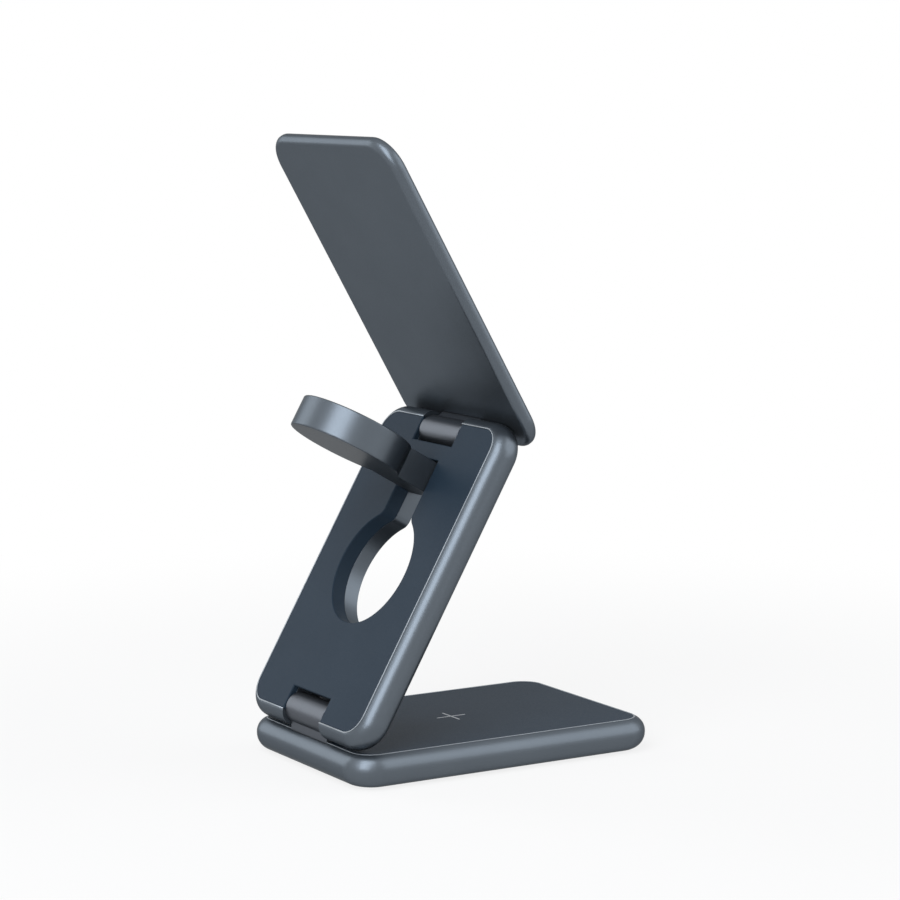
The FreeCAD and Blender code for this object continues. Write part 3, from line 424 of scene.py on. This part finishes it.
def dishCap(settings):
    # A profile turned about the puck's axis: a parabola sinks towards the centre, a quarter round
    # rolls over the edge, and a straight wall runs down to a flat underside.
    radius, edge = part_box("watch_cap")[1].x, settings["edge"] * mm
    inner = np.linspace(0, 1, settings["rings"])
    flatR = inner * (radius - edge)
    flatZ = -settings["dish"] * mm * (1 - inner ** 2)
    roll = np.linspace(0, math.pi / 2, settings["rollSteps"])[1:]
    rollR = radius - edge + edge * np.sin(roll)
    rollZ = -edge + edge * np.cos(roll)
    wallR = np.array([radius, radius / 2, 0.0])
    wallZ = np.full(3, -settings["thick"] * mm)
    r = np.concatenate([flatR, rollR, wallR])
    z = np.concatenate([flatZ, rollZ, wallZ])
    angle = np.linspace(0, 2 * math.pi, settings["spokes"], endpoint=False)
    points = np.stack([r[:, None] * np.cos(angle), r[:, None] * np.sin(angle),
                       np.repeat(z[:, None], len(angle), axis=1)], axis=-1)
    mesh = gridMesh("watch_cap_dish", placed(points, watchFace))
    piece = finishPiece("watch_cap_dish", mesh, capPlastic, "watch_arm",
                        settings["crease"])
    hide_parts("watch_cap")


dishCap(capSettings)
print("stage: puck cap made")


# Camera at the picture's angle

# Degrees, metres, and millimetres for lens and sensor
cameraSettings = {"azimuth": 238.66, "elevation": 7.56, "distance": 0.767, "lens": 115.3,
                  "sensor": 36.0, "near": 0.01, "target": (-0.0003, 0.0005, 0.0816)}
azimuth = math.radians(cameraSettings["azimuth"])
elevation = math.radians(cameraSettings["elevation"])
back = Vector((math.sin(azimuth) * math.cos(elevation), -math.cos(azimuth) * math.cos(elevation),
               math.sin(elevation)))
cameraData = bpy.data.cameras.new("studioCamera")
cameraData.lens = cameraSettings["lens"]
cameraData.sensor_width = cameraSettings["sensor"]
cameraData.sensor_fit = "HORIZONTAL"
cameraData.clip_start = cameraSettings["near"]
camera = bpy.data.objects.new("studioCamera", cameraData)
bpy.context.scene.collection.objects.link(camera)
camera.location = Vector(cameraSettings["target"]) + back * cameraSettings["distance"]
camera.rotation_mode = "QUATERNION"
camera.rotation_quaternion = (-back).to_track_quat("-Z", "Y")
bpy.context.scene.camera = camera


# Studio: floor, soft lamps and world

# Lengths in metres: half the floor, the height that lamps aim at, and how far the shadow reaches
studio = {"floor": 6.0, "paint": 0.8, "worldLight": 0.2, "nearGlow": 0.82, "aim": 0.08,
          "shadowFull": 0.35 / 3, "shadowReach": 0.35}


def whiteRays(tree):  # 1 for a camera, glossy or transmission ray, else 0
    ray = addNode(tree, "ShaderNodeLightPath")
    first = addNode(tree, "ShaderNodeMath", {"operation": "MAXIMUM"},
                    links={0: ray.outputs["Is Camera Ray"], 1: ray.outputs["Is Glossy Ray"]})
    both = addNode(tree, "ShaderNodeMath", {"operation": "MAXIMUM"},
                   links={0: first.outputs["Value"], 1: ray.outputs["Is Transmission Ray"]})
    return both.outputs["Value"]


def floorPiece():
    half = studio["floor"]
    mesh = bpy.data.meshes.new("studio_floor")
    corners = [(-half, -half, 0), (half, -half, 0), (half, half, 0), (-half, half, 0)]
    mesh.from_pydata(corners, [], [(0, 1, 2, 3)])
    material = bpy.data.materials.new("paleFloorPaint")
    material.use_nodes = True
    tree = material.node_tree
    tree.nodes.clear()
    # Camera, gloss and clear rays see white that keeps a soft shadow close to the stand and
    # loses it further out; every other ray meets plain matt paint.
    place = addNode(tree, "ShaderNodeTexCoord")
    reach = addNode(tree, "ShaderNodeVectorMath", {"operation": "LENGTH"},
                    links={0: place.outputs["Object"]})
    fade = addNode(tree, "ShaderNodeMapRange", {"interpolation_type": "SMOOTHSTEP"},
                   {"From Min": studio["shadowFull"], "From Max": studio["shadowReach"],
                    "To Min": studio["nearGlow"], "To Max": 1.0}, {"Value": reach.outputs["Value"]})
    matt = addNode(tree, "ShaderNodeBsdfDiffuse", inputs={"Color": (*[studio["paint"]] * 3, 1)})
    glow = addNode(tree, "ShaderNodeEmission", inputs={"Color": (1, 1, 1, 1), "Strength": 1.0})
    pale = addNode(tree, "ShaderNodeMixShader",
                   links={0: fade.outputs["Result"], 1: matt.outputs["BSDF"],
                          2: glow.outputs["Emission"]})
    pick = addNode(tree, "ShaderNodeMixShader",
                   links={0: whiteRays(tree), 1: matt.outputs["BSDF"], 2: pale.outputs["Shader"]})
    addNode(tree, "ShaderNodeOutputMaterial", links={"Surface": pick.outputs["Shader"]})
    mesh.materials.append(material)
    floor = bpy.data.objects.new("studio_floor", mesh)
    bpy.context.scene.collection.objects.link(floor)


def softLamp(name, azimuthDeg, elevationDeg, distance, size, power, tint="#FFFFFF"):
    a, e = math.radians(azimuthDeg), math.radians(elevationDeg)
    away = Vector((math.sin(a) * math.cos(e), -math.cos(a) * math.cos(e), math.sin(e)))
    data = bpy.data.lights.new(name, "AREA")
    data.shape = "RECTANGLE"
    data.size, data.size_y = size
    data.energy = power
    data.color = hexToLinear(tint)[:3]
    lamp = bpy.data.objects.new(name, data)
    lamp.location = Vector((0, 0, studio["aim"])) + away * distance
    lamp.rotation_mode = "QUATERNION"
    lamp.rotation_quaternion = (-away).to_track_quat("-Z", "Y")
    bpy.context.scene.collection.objects.link(lamp)


floorPiece()
lamps = {  # azimuth and elevation in degrees, distance and size in metres, watts, tint
    "keyLamp": (214, 35, 1.2, (0.8, 1.6), 18.0, "#F7FAFF"),
    "fillLamp": (322, 28, 1.3, (1.5, 1.3), 9.0, "#FAFCFF"),
    "sideLamp": (120, 17, 1.3, (0.8, 1.1), 5.6, "#FFFFFF"),
}
for lampName, values in lamps.items():
    softLamp(lampName, *values)

world = bpy.data.worlds.new("studioWorld")
bpy.context.scene.world = world
world.use_nodes = True
sky = world.node_tree
sky.nodes.clear()
dim = addNode(sky, "ShaderNodeBackground",
              inputs={"Color": (1, 1, 1, 1), "Strength": studio["worldLight"]})
bright = addNode(sky, "ShaderNodeBackground", inputs={"Color": (1, 1, 1, 1), "Strength": 1.0})
choose = addNode(sky, "ShaderNodeMixShader",
                 links={0: whiteRays(sky), 1: dim.outputs["Background"],
                        2: bright.outputs["Background"]})
addNode(sky, "ShaderNodeOutputWorld", links={"Surface": choose.outputs["Shader"]})
bpy.context.scene.view_settings.view_transform = "Standard"
print("stage: studio and camera set")
